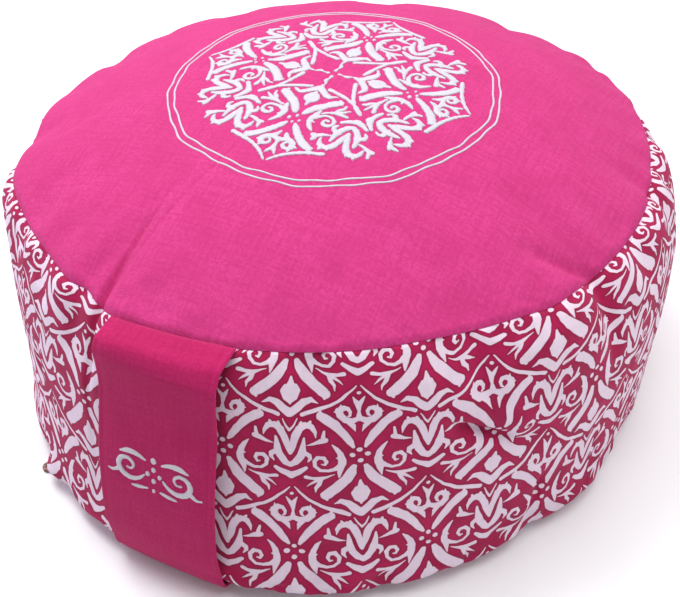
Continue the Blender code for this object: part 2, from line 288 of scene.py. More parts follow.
def filled_relief():
    """How far the filled cloth stands out from the form, for the rows of the crown and of the
    side: the simulated movement along the normal, less its slow part round the cushion."""
    columns = COVER_COLUMNS
    turn = np.radians(-90) + np.arange(columns) * 2 * np.pi / columns
    shares = COVER_CROWN_SHARES[:, None]
    crown = round_points(turn, shares * seam_radius(turn), crown_height(turn, shares))
    heights = rim_height(turn) - COVER_SIDE_SHARES[1:, None] * (rim_height(turn) - FLAT_FOOT)
    side = round_points(turn, side_radius(turn, heights), heights)
    foot = round_points(turn, COVER_FOOT_SHARES[:, None] * BASE_RADIUS, FLAT_FOOT)
    grid = np.concatenate([crown, side, foot])
    points, faces = round_shell(grid, (SEAM_HEIGHT + CROWN_RISE, FLAT_FOOT))
    cover = make_piece("cover", points, faces)
    seam_row, base_row = len(crown) - 1, len(crown) + len(side) - 1
    sewn = cover.vertex_groups.new(name="sewn")
    for first, end in (
        (seam_row * columns, (seam_row + 1) * columns), (base_row * columns, len(points)),
    ):
        sewn.add(list(range(first, end)), 1.0, "REPLACE")
    cloth = cover.modifiers.new("Cloth", "CLOTH").settings
    for setting, value in COVER_CLOTH.items():
        setattr(cloth, setting, value)
    cloth.effector_weights.gravity = 0
    for frame_number in range(1, COVER_FRAMES + 1):
        bpy.context.scene.frame_set(frame_number)
    filled = cover.evaluated_get(bpy.context.evaluated_depsgraph_get()).data
    moved = np.empty(3 * len(points), np.float32)
    filled.vertices.foreach_get("co", moved)
    normals = np.empty(3 * len(points), np.float32)
    cover.data.vertices.foreach_get("normal", normals)
    out = ((moved.reshape(-1, 3) - points) * normals.reshape(-1, 3)).sum(1)[:-2].reshape(-1, columns)
    bpy.data.objects.remove(cover, do_unlink=True)
    bpy.context.scene.frame_set(1)
    waves = np.fft.rfft(out, axis=1)
    number = np.arange(waves.shape[1])
    slow = np.exp(-0.5 * (number * np.radians(SLOW_TURN)) ** 2)
    ripples = np.fft.irfft(waves * (1 - slow), columns, axis=1)
    return (
        CROWN_RELIEF_LIMIT * np.tanh(ripples[: seam_row + 1] / CROWN_RELIEF_LIMIT),
        SIDE_RELIEF_LIMIT * np.tanh(ripples[seam_row : base_row + 1] / SIDE_RELIEF_LIMIT),
    )


def sampled(grid, shares, share, azimuth):
    """A grid, with a row round the cushion for each of shares, read smoothly between its points."""
    rows, columns = grid.shape
    row_at = np.interp(share, shares, np.arange(rows))
    turn_at = (np.degrees(azimuth) + 90) / 360 * columns
    row_at, turn_at = np.broadcast_arrays(row_at, turn_at)
    row, turn = np.floor(row_at).astype(int), np.floor(turn_at).astype(int)
    read = []
    for i in range(-1, 3):
        line = [grid[np.clip(row + i, 0, rows - 1), (turn + j) % columns] for j in range(-1, 3)]
        read.append(catmull_rom(*line, turn_at - turn))
    return catmull_rom(*read, row_at - row)


crown_grid, side_grid = filled_relief()


def crown_relief(azimuth, share):
    """How far the filled crown stands out, fading towards its middle, where no row lies."""
    fade = np.clip(share / FADE_SHARE, 0, 1)
    return sampled(crown_grid, COVER_CROWN_SHARES, share, azimuth) * fade


def side_relief(azimuth, share_down):
    return sampled(side_grid, COVER_SIDE_SHARES, share_down, azimuth)


# ------------------------------
# The printed band. One strip of cotton, printed off-white on deep pink in a small repeat of
# bars, buds, scrolls and four-dot crosses, closed by a join under the strap and filled hard.
BAND_COLUMNS = 560
BAND_ROWS = 104
HIDDEN_ROWS = 12
HIDDEN_DROP = 0.004  # how far its crown lies under the top panel
CLOSE_FOLDS = (-65, -42, -32, -14, -106, -121)  # azimuths where its columns are close
PRINT_CROSS_HEIGHTS = (0.0938, 0.0354)  # of its crosses, and of the next column's
HALF_WIDTH = 30.8  # half a repeat in millimetres, across and up
HALF_HEIGHT = 58.4
PRINT_TURNS = (-90, 20, 254.9, 270), (-0.985, 10.363, 34, 35.55)  # azimuths, and columns there
PRINT_RISE = 0.21  # how fast the print closes up towards the seam
PRINT_SLANT, SLANT_FROM, SLANT_RUN = 0.1, 20, 220  # how far it climbs, and over which azimuths
# Each place where the print is drawn along: azimuth, height, half width, half height, over, up.
PRINT_DRAWS = (
    (-8, 0.138, 30, 0.022, -0.5, 0), (-50, 0.072, 45, 0.016, 0, -0.03),
    (-40.5, 0.091, 5.5, 0.013, -0.15, 0.13), (-33, 0.076, 5, 0.01, 0, -0.09),
    (-23, 0.098, 6, 0.012, 0.07, -0.07), (-31, 0.03, 6, 0.014, -0.11, 0.09),
    (-50, 0.122, 6, 0.015, 0, 0.035), (242, 0.138, 14, 0.02, 0.28, 0),
    (241, 0.086, 11, 0.026, 0.2, 0), (246, 0.03, 12, 0.03, -0.14, 0),
    (254, 0.128, 8, 0.018, 0, -0.085),
)

edge_azimuth = np.radians(close_columns(BAND_COLUMNS, CLOSE_FOLDS, 9, 1.3))
side_share = (1 - np.cos(np.pi * np.linspace(0, 1, BAND_ROWS))) / 2
rims = rim_height(edge_azimuth)
side_heights = rims - side_share[:, None] * (rims - FLAT_FOOT)
side_radii = side_radius(edge_azimuth, side_heights) + side_relief(edge_azimuth, side_share[:, None])
side = round_points(edge_azimuth, side_radii, side_heights)
inner_share = np.sin(np.linspace(0, np.pi / 2, HIDDEN_ROWS + 1))[1:-1, None]
hidden_heights = crown_height(edge_azimuth, inner_share) - PANEL_CLOTH - GAP
hidden_heights = hidden_heights - HIDDEN_DROP * np.sqrt(1 - inner_share**8)
band_grid = np.concatenate([
    round_points(edge_azimuth, inner_share * seam_radius(edge_azimuth), hidden_heights), side,
    round_points(edge_azimuth, BASE_RADIUS * inner_share[::-1], FLAT_FOOT),
])

# The print follows the cloth: columns keep their azimuth, rows their length along the cloth.
steps = np.linalg.norm(np.diff(side, axis=0), axis=2)
cloth_length = np.concatenate([np.zeros((1, BAND_COLUMNS + 1)), np.cumsum(steps, 0)])
cross_lengths = [
    np.array([np.interp(-at, -h, s) for h, s in zip(side_heights.T, cloth_length.T)])
    for at in PRINT_CROSS_HEIGHTS
]
print_up = (cross_lengths[0] - cloth_length) / (cross_lengths[1] - cross_lengths[0])
print_up = print_up + PRINT_RISE * np.maximum(print_up, 0) ** 2
run_round = np.clip((np.degrees(edge_azimuth) - SLANT_FROM) / SLANT_RUN, 0, 1)
print_up = print_up + PRINT_SLANT * run_round**2 * (3 - 2 * run_round)
print_across = np.broadcast_to(np.interp(np.degrees(edge_azimuth), *PRINT_TURNS), print_up.shape)
for place, middle, wide, tall, over, up in PRINT_DRAWS:
    pull = bump_at(edge_azimuth, place, wide) * bump(side_heights - middle, tall)
    print_across = print_across + over * pull
    print_up = print_up + up * pull

# Three stacked lengths of the strip fill a square map; the crown and the foot lie beside them.
STRIPS = 3
DISC_SCALE = 0.55
DISC_MIDDLES = np.array([(0.885, 0.84), (0.885, 0.55)])
row, col = round_quads(len(band_grid), BAND_COLUMNS)
side_row = row - (HIDDEN_ROWS - 1)
local = np.clip(side_row, 0, BAND_ROWS - 1)
printed = np.stack([print_across[local, col], print_up[local, col]], -1)
turned = (np.degrees(edge_azimuth) + 90) / 360 * STRIPS
strip = np.minimum(np.floor(turned[col[:, :1]]), STRIPS - 1)
down = cloth_length[local, col] / cloth_length[-1].max()
strip_place = np.stack(
    [0.005 + 0.76 * (turned[col] - strip), (strip + 0.015 + 0.97 * down) / STRIPS], -1
)
flat_place = band_grid[..., :2]
disc_place = flat_place[row, col] * DISC_SCALE + DISC_MIDDLES[(side_row[:, :1] > 0).astype(int)]
on_side = (side_row[:, :1, None] >= 0) & (side_row[:, :1, None] < BAND_ROWS - 1)
bake_places = [np.where(on_side, strip_place, disc_place).reshape(-1, 2)]
ring = np.arange(BAND_COLUMNS)
for edge, two, middle in zip((0, -1), ((ring, ring + 1), (ring + 1, ring)), DISC_MIDDLES):
    fan = np.concatenate([np.zeros((BAND_COLUMNS, 1, 2)), flat_place[edge, np.stack(two, 1)]], 1)
    bake_places.append((fan * DISC_SCALE + middle).reshape(-1, 2))
fan_print = np.zeros((2 * BAND_COLUMNS * 3, 2))
band = make_piece(
    "printed_band",
    *round_shell(band_grid[:, :-1], (SEAM_HEIGHT + CROWN_RISE - PANEL_CLOTH - GAP, FLAT_FOOT)),
    {"print": np.concatenate([printed.reshape(-1, 2), fan_print]), "OFBake": np.concatenate(bake_places)},
)

# The ornament, one half of its mirrored motif. Each stroke runs through places given in
# thousandths of half a repeat, across and up from a four-dot cross, with half its thickness
# there in hundredths of a millimetre.
CHART = {
    "dot_up": ((0, 52, 145),),
    "dot_side": ((108, 0, 150),),
    "dot_down": ((0, -60, 145),),
    "upper_bar": (
        (85, 80, 100), (130, 122, 180), (220, 200, 220), (370, 298, 245), (500, 352, 255),
        (555, 367, 230),
    ),
    "upper_bar_end": ((600, 352, 80), (560, 408, 80)),
    "sprout": ((78, 550, 45), (42, 512, 105), (0, 475, 150), (0, 410, 75), (0, 350, 170)),
    "sprout_leg": ((160, 318, 140), (92, 282, 140), (50, 225, 30)),
    "scroll": (
        (0, 352, 130), (100, 327, 170), (200, 333, 190), (272, 375, 190), (282, 420, 180),
        (218, 447, 150), (158, 442, 120), (122, 412, 100), (130, 380, 80), (158, 368, 60),
    ),
    "scroll_point": ((275, 398, 170), (350, 406, 40)),
    "scroll_tip": ((262, 432, 140), (262, 480, 30)),
    "gable_dot": ((0, 586, 110),),
    "gable": (
        (35, 655, 50), (110, 603, 75), (230, 537, 95), (420, 468, 105), (620, 418, 120),
        (820, 376, 125),
    ),
    "chevron": ((0, 785, 220), (110, 815, 170), (220, 862, 110)),
    "antler": ((0, 895, 170), (70, 920, 190), (145, 985, 200), (185, 1055, 180), (205, 1165, 70)),
    "antler_hook": ((170, 1030, 190), (270, 1000, 150), (285, 965, 110), (245, 928, 50)),
    "crown": (
        (0, 1010, 90), (35, 1085, 170), (85, 1185, 200), (135, 1245, 200), (220, 1280, 190),
        (310, 1270, 170), (360, 1225, 120), (375, 1170, 30),
    ),
    "crown_knob": ((160, 1270, 160), (170, 1307, 80)),
    "crown_bud": ((275, 1280, 160), (300, 1315, 70)),
    "little_v": ((0, 1238, 80), (50, 1275, 65), (105, 1338, 45)),
    "comma": ((250, 1100, 40), (350, 1115, 100), (440, 1140, 160), (515, 1150, 150)),
    "comma_prong": ((475, 1155, 130), (500, 1235, 70)),
    "curl": (
        (610, 1100, 50), (670, 1060, 120), (720, 1010, 160), (742, 950, 190), (735, 900, 200),
        (710, 840, 160), (690, 765, 50),
    ),
    "curl_thorn": ((710, 965, 150), (655, 968, 25)),
    "tendril": (
        (720, 890, 190), (640, 856, 130), (540, 832, 100), (430, 838, 95), (355, 880, 100),
        (345, 935, 115), (400, 975, 125), (485, 972, 115), (520, 935, 100), (490, 900, 80),
        (450, 905, 60),
    ),
    "sprig": ((630, 800, 40), (520, 770, 80), (420, 750, 150), (310, 755, 110), (215, 765, 130)),
    "sprig_middle": ((400, 740, 120), (300, 700, 80), (225, 660, 30)),
    "sprig_low": ((430, 740, 130), (405, 690, 120), (350, 650, 90), (340, 605, 40)),
    "lower_bar": (
        (85, -125, 150), (130, -185, 240), (210, -262, 280), (350, -348, 290), (470, -408, 290),
        (515, -428, 260),
    ),
    "lower_bar_end": ((565, -412, 90), (500, -470, 90)),
    "bud": ((0, -275, 70), (0, -335, 170), (0, -410, 370), (0, -475, 250), (0, -520, 70)),
    "bud_side": ((55, -362, 150), (80, -410, 210), (50, -470, 180)),
    "leaf": ((0, -610, 240), (90, -570, 230), (190, -515, 200), (290, -490, 150), (400, -522, 40)),
}
STROKES = {
    name: [(x / 1000, y / 1000, half / 100) for x, y, half in places] for name, places in CHART.items()
}


def cell_strokes():
    """The straight pieces of strokes that reach the folded cell, from 0 to 1 across and up. The
    repeat is half-dropped and mirrored, so a stroke may reach it from several places."""
    shifts = [(i, j) for i in range(-3, 4) for j in range(-3, 4) if (i + j) % 2 == 0]
    sizes = (HALF_WIDTH, HALF_HEIGHT)
    found = {}
    for stroke in STROKES.values():
        for start, end in zip(stroke, stroke[1:] or stroke):
            for mirror, (i, j) in product((1, -1), shifts):
                ends = [(mirror * x + i, y + j, r) for x, y, r in (start, end)]
                low = [min(e[k] - e[2] / sizes[k] for e in ends) for k in (0, 1)]
                high = [max(e[k] + e[2] / sizes[k] for e in ends) for k in (0, 1)]
                if max(low) < 1 and min(high) > 0:
                    found[tuple(round(v, 4) for e in ends for v in e)] = ends
    return list(found.values())


def new_group(name, inputs, outputs):
    """A shader group, with sockets given as (name, kind, value) and (name, kind)."""
    group = bpy.data.node_groups.new(name, "ShaderNodeTree")
    for socket, kind, value in inputs:
        made = group.interface.new_socket(socket, in_out="INPUT", socket_type=f"NodeSocket{kind}")
        made.default_value = value
    for socket, kind in outputs:
        group.interface.new_socket(socket, in_out="OUTPUT", socket_type=f"NodeSocket{kind}")
    return group, group.nodes.new("NodeGroupInput"), group.nodes.new("NodeGroupOutput")


def give(tree, socket, feed):
    """Feeds an input from another socket or with a plain value, or leaves it for None."""
    if isinstance(feed, bpy.types.NodeSocket):
        tree.links.new(feed, socket)
    elif feed is not None:
        socket.default_value = feed


def wire(tree, node, **feeds):
    """Feeds a node's inputs by name, with _ for each space in it."""
    for name, feed in feeds.items():
        give(tree, node.inputs[name.replace("_", " ")], feed)


def add(tree, kind, *feeds, **settings):
    """A shader node with its settings, its inputs fed in turn."""
    node = tree.nodes.new("ShaderNode" + kind)
    for key, value in settings.items():
        setattr(node, key, value)
    for socket, feed in zip([s for s in node.inputs if s.enabled], feeds):
        give(tree, socket, feed)
    return node


def math(tree, operation, *feeds):
    return add(tree, "Math", *feeds, operation=operation).outputs[0]


def vector_math(tree, operation, *feeds):
    node = add(tree, "VectorMath", *feeds, operation=operation)
    return node.outputs["Value" if operation in ("LENGTH", "DOT_PRODUCT") else "Vector"]


def ramp(tree, value, low, high, to_low=0.0, to_high=1.0, kind="SMOOTHSTEP"):
    return add(tree, "MapRange", value, low, high, to_low, to_high, interpolation_type=kind).outputs[0]


def mix_colour(tree, share, first_colour, second_colour, blend="MIX"):
    node = add(tree, "Mix", data_type="RGBA", blend_type=blend)
    for index, feed in ((0, share), (6, first_colour), (7, second_colour)):
        give(tree, node.inputs[index], feed)
    return node.outputs[2]


def noise(tree, place, scale, detail, dimensions="2D"):
    return add(tree, "TexNoise", place, scale, detail, noise_dimensions=dimensions).outputs


def place_group(tree, group, **feeds):
    node = add(tree, "Group", node_tree=group)
    wire(tree, node, **feeds)
    return node.outputs


def raised(tree, height, distance, strength=1.0):
    """The normal over a height."""
    node = add(tree, "Bump")
    wire(tree, node, Strength=strength, Distance=distance, Height=height)
    return node.outputs[0]


def new_material(name, **finish):
    """A material, its node tree and its shader, whose inputs the finish sets."""
    material = bpy.data.materials.new(name)
    material.use_nodes = True
    tree = material.node_tree
    shader = tree.nodes["Principled BSDF"]
    wire(tree, shader, **finish)
    return material, tree, shader


def stroke_group():
    """How deep a place lies inside a tapered stroke: its half thickness at the nearest point of
    its line, less the distance to that point."""
    group, given, result = new_group(
        "tapered stroke",
        [("Place", "Vector", (0, 0, 0)), ("Start", "Vector", (0, 0, 0)), ("Back", "Vector", (0, 0, 0)),
         ("Reach", "Vector", (0, 0, 0)), ("Half", "Float", 1.0), ("Growth", "Float", 0.0)],
        [("Depth", "Float")],
    )
    place, start, back, reach, half, growth = given.outputs[:6]
    away = vector_math(group, "SUBTRACT", place, start)
    run = add(group, "Clamp", vector_math(group, "DOT_PRODUCT", away, reach)).outputs[0]
    rest = vector_math(group, "ADD", vector_math(group, "SCALE", back, run), away)
    half_here = math(group, "MULTIPLY_ADD", run, growth, half)
    depth = math(group, "SUBTRACT", half_here, vector_math(group, "LENGTH", rest))
    group.links.new(depth, result.inputs[0])
    return group


def ornament_group():
    """How deep a place lies inside the nearest stroke of the print, in millimetres. The place is
    given in half repeats; a half drop and a mirror fold it into one cell."""
    stroke = stroke_group()
    group, given, result = new_group(
        "printed ornament", [("Place", "Vector", (0, 0, 0))], [("Depth", "Float")]
    )
    parts = add(group, "SeparateXYZ", given.outputs[0]).outputs
    dropped = math(group, "ADD", parts[0], math(group, "FLOOR", parts[1]))
    across = math(group, "MULTIPLY", math(group, "PINGPONG", dropped, 1.0), HALF_WIDTH)
    up = math(group, "MULTIPLY", math(group, "FRACT", parts[1]), HALF_HEIGHT)
    place = add(group, "CombineXYZ", across, up).outputs[0]
    deepest = None
    for (x0, y0, r0), (x1, y1, r1) in cell_strokes():
        start = np.array([x0 * HALF_WIDTH, y0 * HALF_HEIGHT, 0])
        run = np.array([x1 * HALF_WIDTH, y1 * HALF_HEIGHT, 0]) - start
        depth = place_group(
            group, stroke, Place=place, Start=start, Back=-run, Reach=run / max(run @ run, 1e-9),
            Half=r0, Growth=r1 - r0,
        )[0]
        deepest = depth if deepest is None else math(group, "MAXIMUM", deepest, depth)
    group.links.new(deepest, result.inputs[0])
    return group


def weave_group():
    """A plain weave. The cloth's place over the thread's pitch gives two sets of round threads;
    the product of their slow waves says which set passes over. Uneven threads and slubs come
    from stretched noise. Height and tone are about 0 to 1."""
    group, given, result = new_group(
        "plain weave",
        [("Cloth", "Vector", (0, 0, 0)), ("Pitch", "Float", 0.0006)],
        [("Height", "Float"), ("Tone", "Float")],
    )
    cloth, pitch = given.outputs[:2]
    wander = noise(group, cloth, 160, 1)[1]
    shift = vector_math(group, "MULTIPLY_ADD", wander, (0.0005,) * 3, cloth)
    pitches = add(group, "CombineXYZ", pitch, pitch, pitch).outputs[0]
    parts = add(group, "SeparateXYZ", vector_math(group, "DIVIDE", shift, pitches)).outputs
    half_turn = [math(group, "MULTIPLY", parts[k], np.pi) for k in (0, 1)]
    round_thread = [math(group, "ABSOLUTE", math(group, "SINE", a)) for a in half_turn]
    slow = [math(group, "COSINE", a) for a in half_turn]
    over = ramp(group, math(group, "MULTIPLY", *slow), -0.35, 0.35)
    warp = math(group, "MULTIPLY", round_thread[0], over)
    weft = math(group, "MULTIPLY", round_thread[1], math(group, "SUBTRACT", 1.0, over))
    height = math(group, "ADD", warp, weft)
    slubs = [
        noise(group, vector_math(group, "MULTIPLY", cloth, stretch), 1, 2)[0]
        for stretch in ((40, 700, 1), (700, 40, 1))
    ]
    tone = math(group, "MULTIPLY", math(group, "ADD", *slubs), 0.5)
    group.links.new(height, result.inputs[0])
    group.links.new(tone, result.inputs[1])
    return group


PRINT_GROUND = (0.47, 0.013, 0.090, 1)
PRINT_GROUND_DEEP = (0.27, 0.009, 0.046, 1)
PRINT_WHITE = (0.86, 0.70, 0.82, 1)
PRINT_DRIFT = (0.034, 0.018, 0)  # how far its edges wander, in half repeats
PRINT_EDGE = 0.04, 0.36  # the depths in millimetres over which the white comes in
BLOT_MIDDLE, BLOT_HALF_WIDTH = 0.24, 0.6  # the dark line that soaks out round the white
weave = weave_group()
ornament = ornament_group()
printed_cotton, tree, shader = new_material(
    "printed cotton", Roughness=0.85, Specular_IOR_Level=0.12, Sheen_Weight=0.08,
    Sheen_Roughness=0.5, Sheen_Tint=(0.80, 0.78, 1, 1),
)
half_repeats = add(tree, "UVMap", uv_map="print").outputs[0]
cloth = vector_math(tree, "MULTIPLY", half_repeats, (HALF_WIDTH / 1000, HALF_HEIGHT / 1000, 0))
drift = vector_math(tree, "SUBTRACT", noise(tree, cloth, 130, 1)[1], (0.5, 0.5, 0.5))
drawn = vector_math(tree, "MULTIPLY_ADD", drift, PRINT_DRIFT, half_repeats)
depth = place_group(tree, ornament, Place=drawn)[0]
threads, slubs = place_group(tree, weave, Cloth=cloth, Pitch=0.00055)
white = ramp(tree, depth, *PRINT_EDGE)
from_blot = math(tree, "ABSOLUTE", math(tree, "ADD", depth, BLOT_MIDDLE))
blot = ramp(tree, from_blot, 0.0, BLOT_HALF_WIDTH, 1.0, 0.0)
patchy = ramp(tree, noise(tree, cloth, 60, 4)[0], 0.3, 0.7, 0.0, 0.5)
ground = mix_colour(tree, patchy, PRINT_GROUND, PRINT_GROUND_DEEP)
ground = mix_colour(tree, math(tree, "MULTIPLY", blot, 0.75), ground, PRINT_GROUND_DEEP)
colour = mix_colour(tree, white, ground, PRINT_WHITE)
tone = ramp(tree, slubs, 0.3, 0.7, 0.93, 1.0, "LINEAR")
# Painted shade: the threads' low places are darkened, times the slubs' own uneven tone.
shade = math(tree, "MULTIPLY", tone, ramp(tree, threads, 0.0, 1.0, 0.86, 1.0, "LINEAR"))
colour = mix_colour(tree, 1.0, colour, shade, "MULTIPLY")
wire(tree, shader, Base_Color=colour, Normal=raised(tree, threads, 0.00016, 0.7))
band.data.materials.append(printed_cotton)
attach(band, "root")
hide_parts("filled_band")

# ------------------------------
# The top panel. One disc of plain hot-pink cotton, stretched over the filling and sewn face to
# face with the band, so that its edge rolls down into the seam.
TOP_COLUMNS = 400
TOP_ROWS = 84
TOP_PINK = (0.665, 0.055, 0.245, 1)
TOP_PINK_DEEP = (0.53, 0.031, 0.168, 1)
EDGE_ROLL, EDGE_ROLL_SHARE = 0.0018, 0.015  # how far its edge rolls down, and how far in
LOWER_IN = 0.0003  # how far its lower side stops short

azimuths = np.radians(close_columns(TOP_COLUMNS, (-105, -20), 5, 3.0))
top_share = np.sin(np.linspace(0, np.pi / 2, TOP_ROWS + 1)[1:, None]) ** 0.9
top_share[-1] = 1
roll = EDGE_ROLL * np.clip((top_share - (1 - EDGE_ROLL_SHARE)) / EDGE_ROLL_SHARE, 0, 1) ** 2.2
top_heights = crown_height(azimuths, top_share) + crown_relief(azimuths, top_share)
upper = round_points(azimuths, top_share * seam_radius(azimuths), top_heights - roll)
lower_share = top_share[::-3]
lower_relief = np.minimum(crown_relief(azimuths, lower_share), 0)
lower = round_points(
    azimuths, lower_share * (seam_radius(azimuths) - LOWER_IN),
    crown_height(azimuths, lower_share) + lower_relief - PANEL_CLOTH,
)
top_poles = SEAM_HEIGHT + CROWN_RISE, SEAM_HEIGHT + CROWN_RISE - PANEL_CLOTH
top_panel = make_piece(
    "top_cotton_panel", *round_shell(np.concatenate([upper, lower])[:, :-1], top_poles)
)


def plain_cotton(name, colour, deep_colour, cloth_of, sheen):
    """Plain-woven cotton, dyed in the piece: threads, slubs, a slow unevenness of the dye, and painted
    shade between the threads.
    """
    material, tree, shader = new_material(
        name, Roughness=0.9, Specular_IOR_Level=0.12, Sheen_Weight=sheen, Sheen_Roughness=0.45,
    )
    cloth = cloth_of(tree)
    threads, slubs = place_group(tree, weave, Cloth=cloth, Pitch=0.00062)
    patchy = noise(tree, cloth, 45, 5, "3D")[0]
    fuzz = noise(tree, cloth, 620, 2, "3D")[0]
    for uneven, low, high, most in (
        (patchy, 0.3, 0.7, 0.4), (slubs, 0.40, 0.64, 0.55), (fuzz, 0.35, 0.68, 0.6),
    ):
        colour = mix_colour(tree, ramp(tree, uneven, low, high, 0.0, most), colour, deep_colour)
    # Painted shade: the low places between the threads are darkened.
    shade = ramp(tree, threads, 0.0, 1.0, 0.82, 1.0, "LINEAR")
    colour = mix_colour(tree, 1.0, colour, shade, "MULTIPLY")
    wire(tree, shader, Base_Color=colour, Normal=raised(tree, threads, 0.0002, 0.8))
    return material


def by_place(tree):
    return add(tree, "TexCoord").outputs["Object"]


panel_cotton = plain_cotton("panel cotton", TOP_PINK, TOP_PINK_DEEP, by_place, 0.05)
top_panel.data.materials.append(panel_cotton)
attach(top_panel, "root")
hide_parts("top_panel")

# ------------------------------
# The embroidery on the top. White rayon thread in satin stitch, sewn through the panel before it
# was filled: two wandering rings, and within them four squashed repeats of the band's ornament,
# each with its bud towards the middle.
RING_RADII = (0.0859, 0.0824)
RING_WAVES = ((5, 0.00050, 1.0), (9, 0.00045, 2.1), (14, 0.00038, 0.4))  # number, reach, turn
RING_HALF_WIDTH = 0.00054
MOTIF_WIDTH, MOTIF_HEIGHT = 0.0295, 0.0465  # of half a repeat
MOTIF_OUT = 0.0440  # from the middle to each four-dot cross
THREAD_SPREAD, THREAD_HALF = 0.00080, 0.00034  # half widths: for each of the chart's, and added
THREAD_WHITE = (0.66, 0.62, 0.69, 1)
STRAND = 0.00042
SLOPE_STEP = 0.0005
RIBBON_SIDES = 8
LEAST_HALF = 0.0001
random = np.random.default_rng(7)


def crown_surface(x, y):
    """Points and normals on the filled top panel over places (x, y)."""

    def height(x, y):
        azimuth = np.arctan2(y, x)
        share = np.hypot(x, y) / seam_radius(azimuth)
        return crown_height(azimuth, share) + crown_relief(azimuth, share)

    slope_x = (height(x + SLOPE_STEP, y) - height(x - SLOPE_STEP, y)) / (2 * SLOPE_STEP)
    slope_y = (height(x, y + SLOPE_STEP) - height(x, y - SLOPE_STEP)) / (2 * SLOPE_STEP)
    normals = np.stack([-slope_x, -slope_y, np.ones_like(slope_x)], -1)
    return np.stack([x, y, height(x, y)], -1), normals / np.linalg.norm(normals, axis=-1, keepdims=True)


def smooth_line(stroke, step):
    """A curve through the stroke's points (x, y, half width), read every step."""
    line = np.array(stroke, float)
    if len(line) == 1:
        line = np.concatenate([line - [0, 0.0001, 0], line + [0, 0.0001, 0]])
    longer = np.concatenate([[2 * line[0] - line[1]], line, [2 * line[-1] - line[-2]]])
    pieces = []
    for a, b, c, d in zip(longer, longer[1:], longer[2:], longer[3:]):
        count = max(int(np.linalg.norm((c - b)[:2]) / step), 1)
        pieces.append(catmull_rom(a, b, c, d, np.linspace(0, 1, count, endpoint=False)[:, None]))
    curve = np.concatenate([*pieces, line[-1:]])
    curve[:, 2] = np.maximum(curve[:, 2], LEAST_HALF)
    return curve


def satin_ribbons(name, strokes, surface, thickness, step=0.0009, ragged=0.0):
    """Raised threadwork. Each stroke is a curve on a surface; across it the stitches arch over
    in half an ellipse of the stroke's own width, and round both ends. Ragged is how far the
    stitch ends wander. The map runs along the stroke and across it, in metres."""
    points, faces, places = [], [], []
    total = 0
    turn = np.linspace(0, 2 * np.pi, RIBBON_SIDES, endpoint=False)
    rise = np.where(np.sin(turn) > 0, np.sin(turn), 0.25 * np.sin(turn))
    cap = np.radians([20, 45, 70, 86])
    for stroke in strokes:
        curve = smooth_line(stroke, step)
        ahead = np.gradient(curve[:, :2], axis=0)
        ahead /= np.maximum(np.linalg.norm(ahead, axis=1, keepdims=True), 1e-9)
        half = curve[:, 2] + ragged * random.uniform(-1, 1, len(curve))
        half = np.maximum(half, LEAST_HALF)
        start = curve[0, :2] - ahead[0] * half[0] * np.sin(cap[::-1, None])
        end = curve[-1, :2] + ahead[-1] * half[-1] * np.sin(cap[:, None])
        middle = np.concatenate([start, curve[:, :2], end])
        half = np.concatenate([half[0] * np.cos(cap[::-1]), half, half[-1] * np.cos(cap)])
        ends = len(cap)
        ahead = np.concatenate([np.repeat(ahead[:1], ends, 0), ahead, np.repeat(ahead[-1:], ends, 0)])
        sideways = np.stack([-ahead[:, 1], ahead[:, 0]], 1)
        across = half[:, None] * np.cos(turn)
        flat = middle[:, None] + sideways[:, None] * across[..., None]
        ground, up = surface(flat[..., 0], flat[..., 1])
        arch = np.minimum(thickness, 0.8 * half)[:, None] * rise
        points.append((ground + up * arch[..., None]).reshape(-1, 3))
        ids, first_ring, last_ring = tube_ids(len(middle), RIBBON_SIDES, total)
        faces += ids.tolist() + [first_ring[::-1].tolist(), last_ring.tolist()]
        run = np.concatenate([[0], np.cumsum(np.linalg.norm(np.diff(middle, axis=0), axis=1))])
        place = np.stack(np.broadcast_arrays(run[:, None], across), -1).reshape(-1, 2)
        places.append(place[np.concatenate([ids.ravel(), first_ring[::-1], last_ring]) - total])
        total += len(middle) * RIBBON_SIDES
    return make_piece(name, np.concatenate(points), faces, {"stitch": np.concatenate(places)})


def wandering_ring(radius, seed_turn):
    """A circle that wanders by a few slow waves, as a stroke; its end runs over its start."""
    turn = np.linspace(0, 2 * np.pi + 0.02, 320)
    waves = (*RING_WAVES, (23, 0.00028, seed_turn), (37, 0.00016, 3 * seed_turn))
    out = radius + sum(reach * np.sin(number * turn + start) for number, reach, start in waves)
    return np.stack([out * np.cos(turn), out * np.sin(turn), np.full_like(turn, RING_HALF_WIDTH)], 1)


OWN_STROKES = (
    "upper_bar upper_bar_end sprout sprout_leg scroll scroll_point scroll_tip "
    "gable lower_bar lower_bar_end bud bud_side leaf"
).split()
NEXT_WHOLE = "antler antler_hook crown crown_knob crown_bud chevron comma comma_prong".split()
NEXT_NEAR = "curl curl_thorn tendril sprig sprig_middle sprig_low gable".split()
MOTIF_DOTS = (
    ((0, 0.052, 0.7),), ((0.10, 0.01, 0.7),), ((-0.10, -0.01, 0.8),), ((0.01, -0.06, 0.6),),
    ((0, -0.66, 1.1), (0.02, -0.72, 0.3), (-0.02, -0.78, 1.2), (0, -0.83, 0.2), (0.01, -0.88, 1.1)),
)


def motif_strokes():
    """The strokes of one embroidered motif, with its bud towards the middle of the top: the
    ornament's own column whole, and the near halves of the columns to its left and right."""
    placed = []
    for mirror in (1, -1):
        for names, over, turned, down in (
            (OWN_STROKES, 0, 1, 0), (NEXT_WHOLE + NEXT_NEAR, 1, -1, 1), (NEXT_WHOLE, 1, 1, 1),
        ):
            for name in names:
                placed.append([(mirror * (over + turned * x), y - down, r) for x, y, r in STROKES[name]])
    return placed + list(MOTIF_DOTS)


